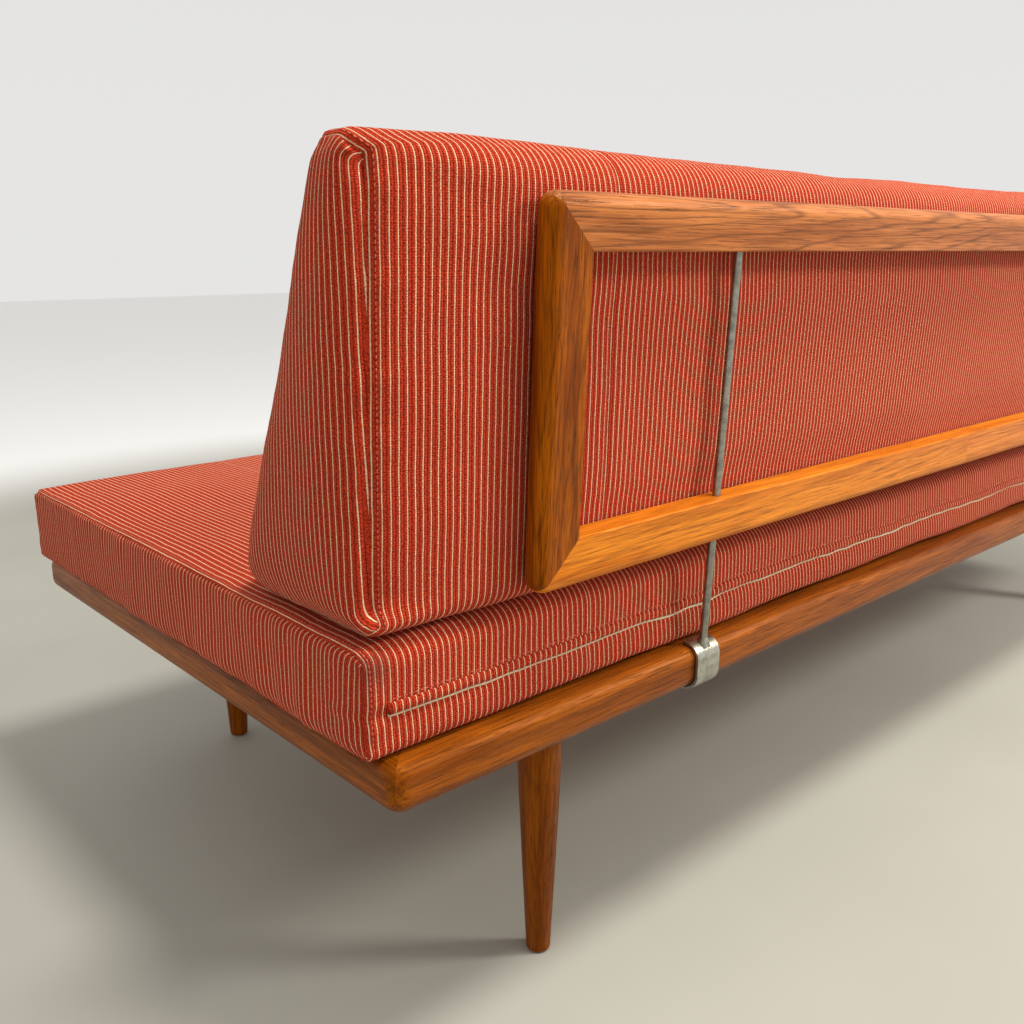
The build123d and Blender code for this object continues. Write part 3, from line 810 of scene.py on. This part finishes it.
def make_back_cushion():
    low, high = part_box("back_cushion_cover")
    rise = high.z - low.z
    heel = high.y + 0.0004 - rise * LEAN
    corners = (
        (heel - 0.001, low.z + 0.001), (low.y - 0.020, low.z + 0.001),
        (high.y - 0.078, high.z + 0.011), (high.y - 0.001, high.z + 0.010),
    )
    radii = (0.020, 0.034, 0.036, 0.032)
    form = Pad("back_pad", corners, radii, high.x + 0.003, CUSHION_END, SIM_CELL, joins=(WIDTH_JOIN,))
    pad = form.build()
    pinned = np.where((form.rest[:, 2] < low.z + 0.002) | (form.seam < 1e-6), 1.0, 0.0)
    set_points(pad.data, swell(pad, pinned, 0.011, 0.6))
    subdivide(pad)
    relief(pad, 0.0022, 0.0035, (WIDTH_JOIN,))
    points = points_of(pad.data)
    x, z = np.abs(points[:, 0]), points[:, 2]
    top_rail, bottom_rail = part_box("back_top_rail"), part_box("back_bottom_rail_right")
    window = ease(WINDOW - x, 0.0, 0.05) * ease(z, bottom_rail[1].z, bottom_rail[1].z + 0.05)
    window *= ease(-z, -top_rail[0].z, 0.05 - top_rail[0].z)
    beyond = np.maximum(ease(x, 0.842, 0.875), ease(z, top_rail[1].z + 0.003, top_rail[1].z + 0.02))
    rear = heel + 0.0008 + (z - low.z) * LEAN + 0.0035 * window + 0.005 * beyond
    points[:, 1] = np.minimum(points[:, 1], rear)
    points[:, 2] = np.maximum(points[:, 2], low.z)
    set_points(pad.data, points)
    return form, pad


def across(length, step):
    return list(np.arange(-length, length + step / 2, step))


def dress_pads():
    """Build both pads with their stitching and zips, and set each on its body."""
    fabric = striped_fabric("striped_wool")
    worn_fabric = striped_fabric("striped_wool_worn", worn=True)
    thread = plain("thread", srgb(214, 104, 74), srgb(160, 54, 36), 900, 0.7, 0.0002)
    tape = plain("zip_tape", srgb(226, 210, 178), srgb(176, 154, 118), 900, 0.75, 0.0003)

    form, mattress = make_mattress()
    mattress.data.materials.append(worn_fabric)
    tree = tree_of(mattress)
    behind, forward = (lambda z: (0.6, z)), Vector((0, -1, 0))
    xs = across(ZIP_HALF, 0.004)
    zip_strip = ribbon(
        "mattress_zip_tape", tree, xs,
        ((0.3334, -0.001), (0.3337, 0.0006), (0.3352, 0.0009), (0.3368, 0.0007), (0.3372, -0.001)),
        behind, forward, ZIP_WANDER,
    )
    zip_strip.data.materials.append(tape)
    lip = ribbon(
        "mattress_zip_flap", tree, xs,
        (
            (0.3366, -0.0005), (0.3360, 0.0022), (0.3375, 0.0034),
            (0.3415, 0.0031), (0.3450, 0.0016), (0.3465, -0.0008),
        ),
        behind, forward, ZIP_WANDER,
    )
    lip.data.materials.append(fabric)
    stitches = seam_stitches("mattress_stitches", mattress, form, (STITCH_INSET,), STITCH_PITCH, STITCH)
    stitches.data.materials.append(thread)
    sewn = surface_line(tree, xs, TOPSTITCH_HEIGHT, behind, forward, ZIP_WANDER)
    run = paced([spot for spot, _ in sewn], TOPSTITCH_PITCH)
    dashes = [(spot, heading, sewn[0][1]) for spot, heading in run]
    zip_stitches = strung("mattress_zip_stitches", dashes, STITCH)
    zip_stitches.data.materials.append(thread)
    for piece in (mattress, zip_strip, lip, stitches, zip_stitches):
        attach(piece, "mattress")
    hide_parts("mattress_cover", "mattress_core")
    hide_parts("mattress_zip")

    back_form, back = make_back_cushion()
    back.data.materials.append(fabric)
    sole = sum(c.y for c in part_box("back_cushion_zip")) / 2
    back_zip = ribbon(
        "back_zip_tape", tree_of(back), xs,
        tuple((sole + off, proud) for off, proud in BACK_TAPE),
        lambda y: (y, 0.1), Vector((0, 0, 1)), 0.0,
    )
    back_zip.data.materials.append(tape)
    back_stitches = seam_stitches("back_stitches", back, back_form, (STITCH_INSET,), STITCH_PITCH, STITCH)
    back_stitches.data.materials.append(thread)
    for piece in (back, back_zip, back_stitches):
        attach(piece, "back_cushion")
    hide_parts("back_cushion_cover", "back_cushion_core")
    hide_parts("back_cushion_zip")


# The CAD pieces' finishes -------------------------------------------------------

def finish_frame_pieces():
    """Give every carried-over node its finish."""
    brown = (srgb(164, 86, 14), srgb(120, 56, 8), srgb(64, 27, 4))
    dusky = (srgb(160, 84, 8), srgb(114, 53, 4), srgb(60, 27, 2))
    golden = (srgb(240, 146, 38), srgb(208, 112, 18), srgb(122, 55, 5))
    rosy = (srgb(204, 124, 64), srgb(160, 88, 40), srgb(74, 33, 10))
    amber = (srgb(176, 90, 4), srgb(118, 51, 2), srgb(50, 20, 1))
    pale = (srgb(214, 178, 134), srgb(190, 150, 104), srgb(140, 102, 66))
    legs = tuple(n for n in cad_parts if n.startswith(("leg_front", "leg_rear")))
    tongues = tuple(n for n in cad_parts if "_tongue" in n)
    slats = tuple(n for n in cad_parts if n.startswith("slat_") and n != "slat_screws")
    ledgers = tuple(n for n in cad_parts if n.startswith("ledger_") and n != "ledger_screws")
    bearers = ("leg_bearer_left", "leg_bearer_right", "bearer_dowels")
    woods = {
        "long_rail_teak": (0, brown, 0.35, 0.31, ("front_rail", "rear_rail")),
        "end_rail_teak": (1, dusky, 0.4, 0.83, ("left_end_rail", "right_end_rail")),
        "leg_teak": (2, dusky, 0.4, 0.17, legs),
        "top_rail_teak": (0, rosy, 0.9, 0.52, ("back_top_rail",)),
        "bottom_left_teak": (0, golden, 0.45, 0.09, ("back_bottom_rail_left",)),
        "bottom_right_teak": (0, golden, 0.45, 0.66, ("back_bottom_rail_right",)),
        "stile_teak": (2, amber, 0.6, 0.40, ("back_stile_left", "back_stile_right")),
        "tongue_teak": (0, brown, 0.4, 0.2, tongues),
        "slat_beech": (1, pale, 0.5, 0.12, slats),
        "ledger_beech": (0, pale, 0.5, 0.71, ledgers),
        "bearer_beech": (1, pale, 0.5, 0.45, bearers),
    }
    for name, (grain, tones, figure, seed, nodes) in woods.items():
        assign(wood(name, grain, *tones, figure=figure, seed=seed), nodes)
    assign(steel("rod_steel"), ("back_rod_left", "back_rod_right"))
    assign(steel("strap_steel", stained=True), ("rail_strap_left", "rail_strap_right"))
    # The liner inside each strap is near black: partly the liner's own colour, partly painted shade for the
    # gap between strap and rail
    liner = plain("liner_rubber", srgb(44, 34, 26), srgb(24, 18, 14), 700, 0.6, 0.0002)
    assign(liner, ("strap_liner_left", "strap_liner_right"))
    zinc = plain("zinc", srgb(176, 176, 170), srgb(138, 138, 134), 500, 0.4, 0.0001, metallic=1.0)
    assign(zinc, ("slat_screws", "ledger_screws", "leg_bolts"))
    brass = plain("brass", srgb(190, 152, 84), srgb(150, 116, 58), 500, 0.4, 0.0001, metallic=1.0)
    assign(brass, ("leg_inserts",))


def assign(finish, nodes):
    for name in nodes:
        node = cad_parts[name]
        for place in node.material_slots:
            place.material = finish
        if not node.material_slots:
            node.data.materials.append(finish)


def add_floor():
    """A pale floor, brighter beyond the object so that it fades into the room."""
    mesh = bpy.data.meshes.new("floor")
    reach = 14.0
    corners = [(-reach, -reach, 0), (reach, -reach, 0), (reach, reach, 0), (-reach, reach, 0)]
    mesh.from_pydata(corners, [], [(0, 1, 2, 3)])
    floor = bpy.data.objects.new("floor", mesh)
    scene.collection.objects.link(floor)
    s = Surface("floor_finish", Specular_IOR_Level=0.3)
    place = s.position()
    tone = s.mix(s.fit(s.noise(place, 1.5, 4, 0.5), 0.3, 0.7), srgb(166, 164, 153), srgb(174, 172, 161))
    middle = s.node("ShaderNodeVectorMath", operation="LENGTH")
    s.put(middle.inputs[0], place)
    tone = s.mix(s.fit(middle.outputs["Value"], 1.9, 2.7), tone, srgb(250, 249, 247))
    mesh.materials.append(s.finish(tone, 0.75, s.noise(place, 40, 2), 0.0001))


add_camera()
add_world()
add_light("key", (-1.8, 2.4, 2.3), (0.2, 0.1, 0.4), 0.7, 76, (1.0, 0.97, 0.91))
add_light("second", (0.4, 0.9, 3.0), (0.2, 0.1, 0.4), 0.7, 70, (1.0, 0.98, 0.93))
add_floor()
finish_frame_pieces()
dress_pads()
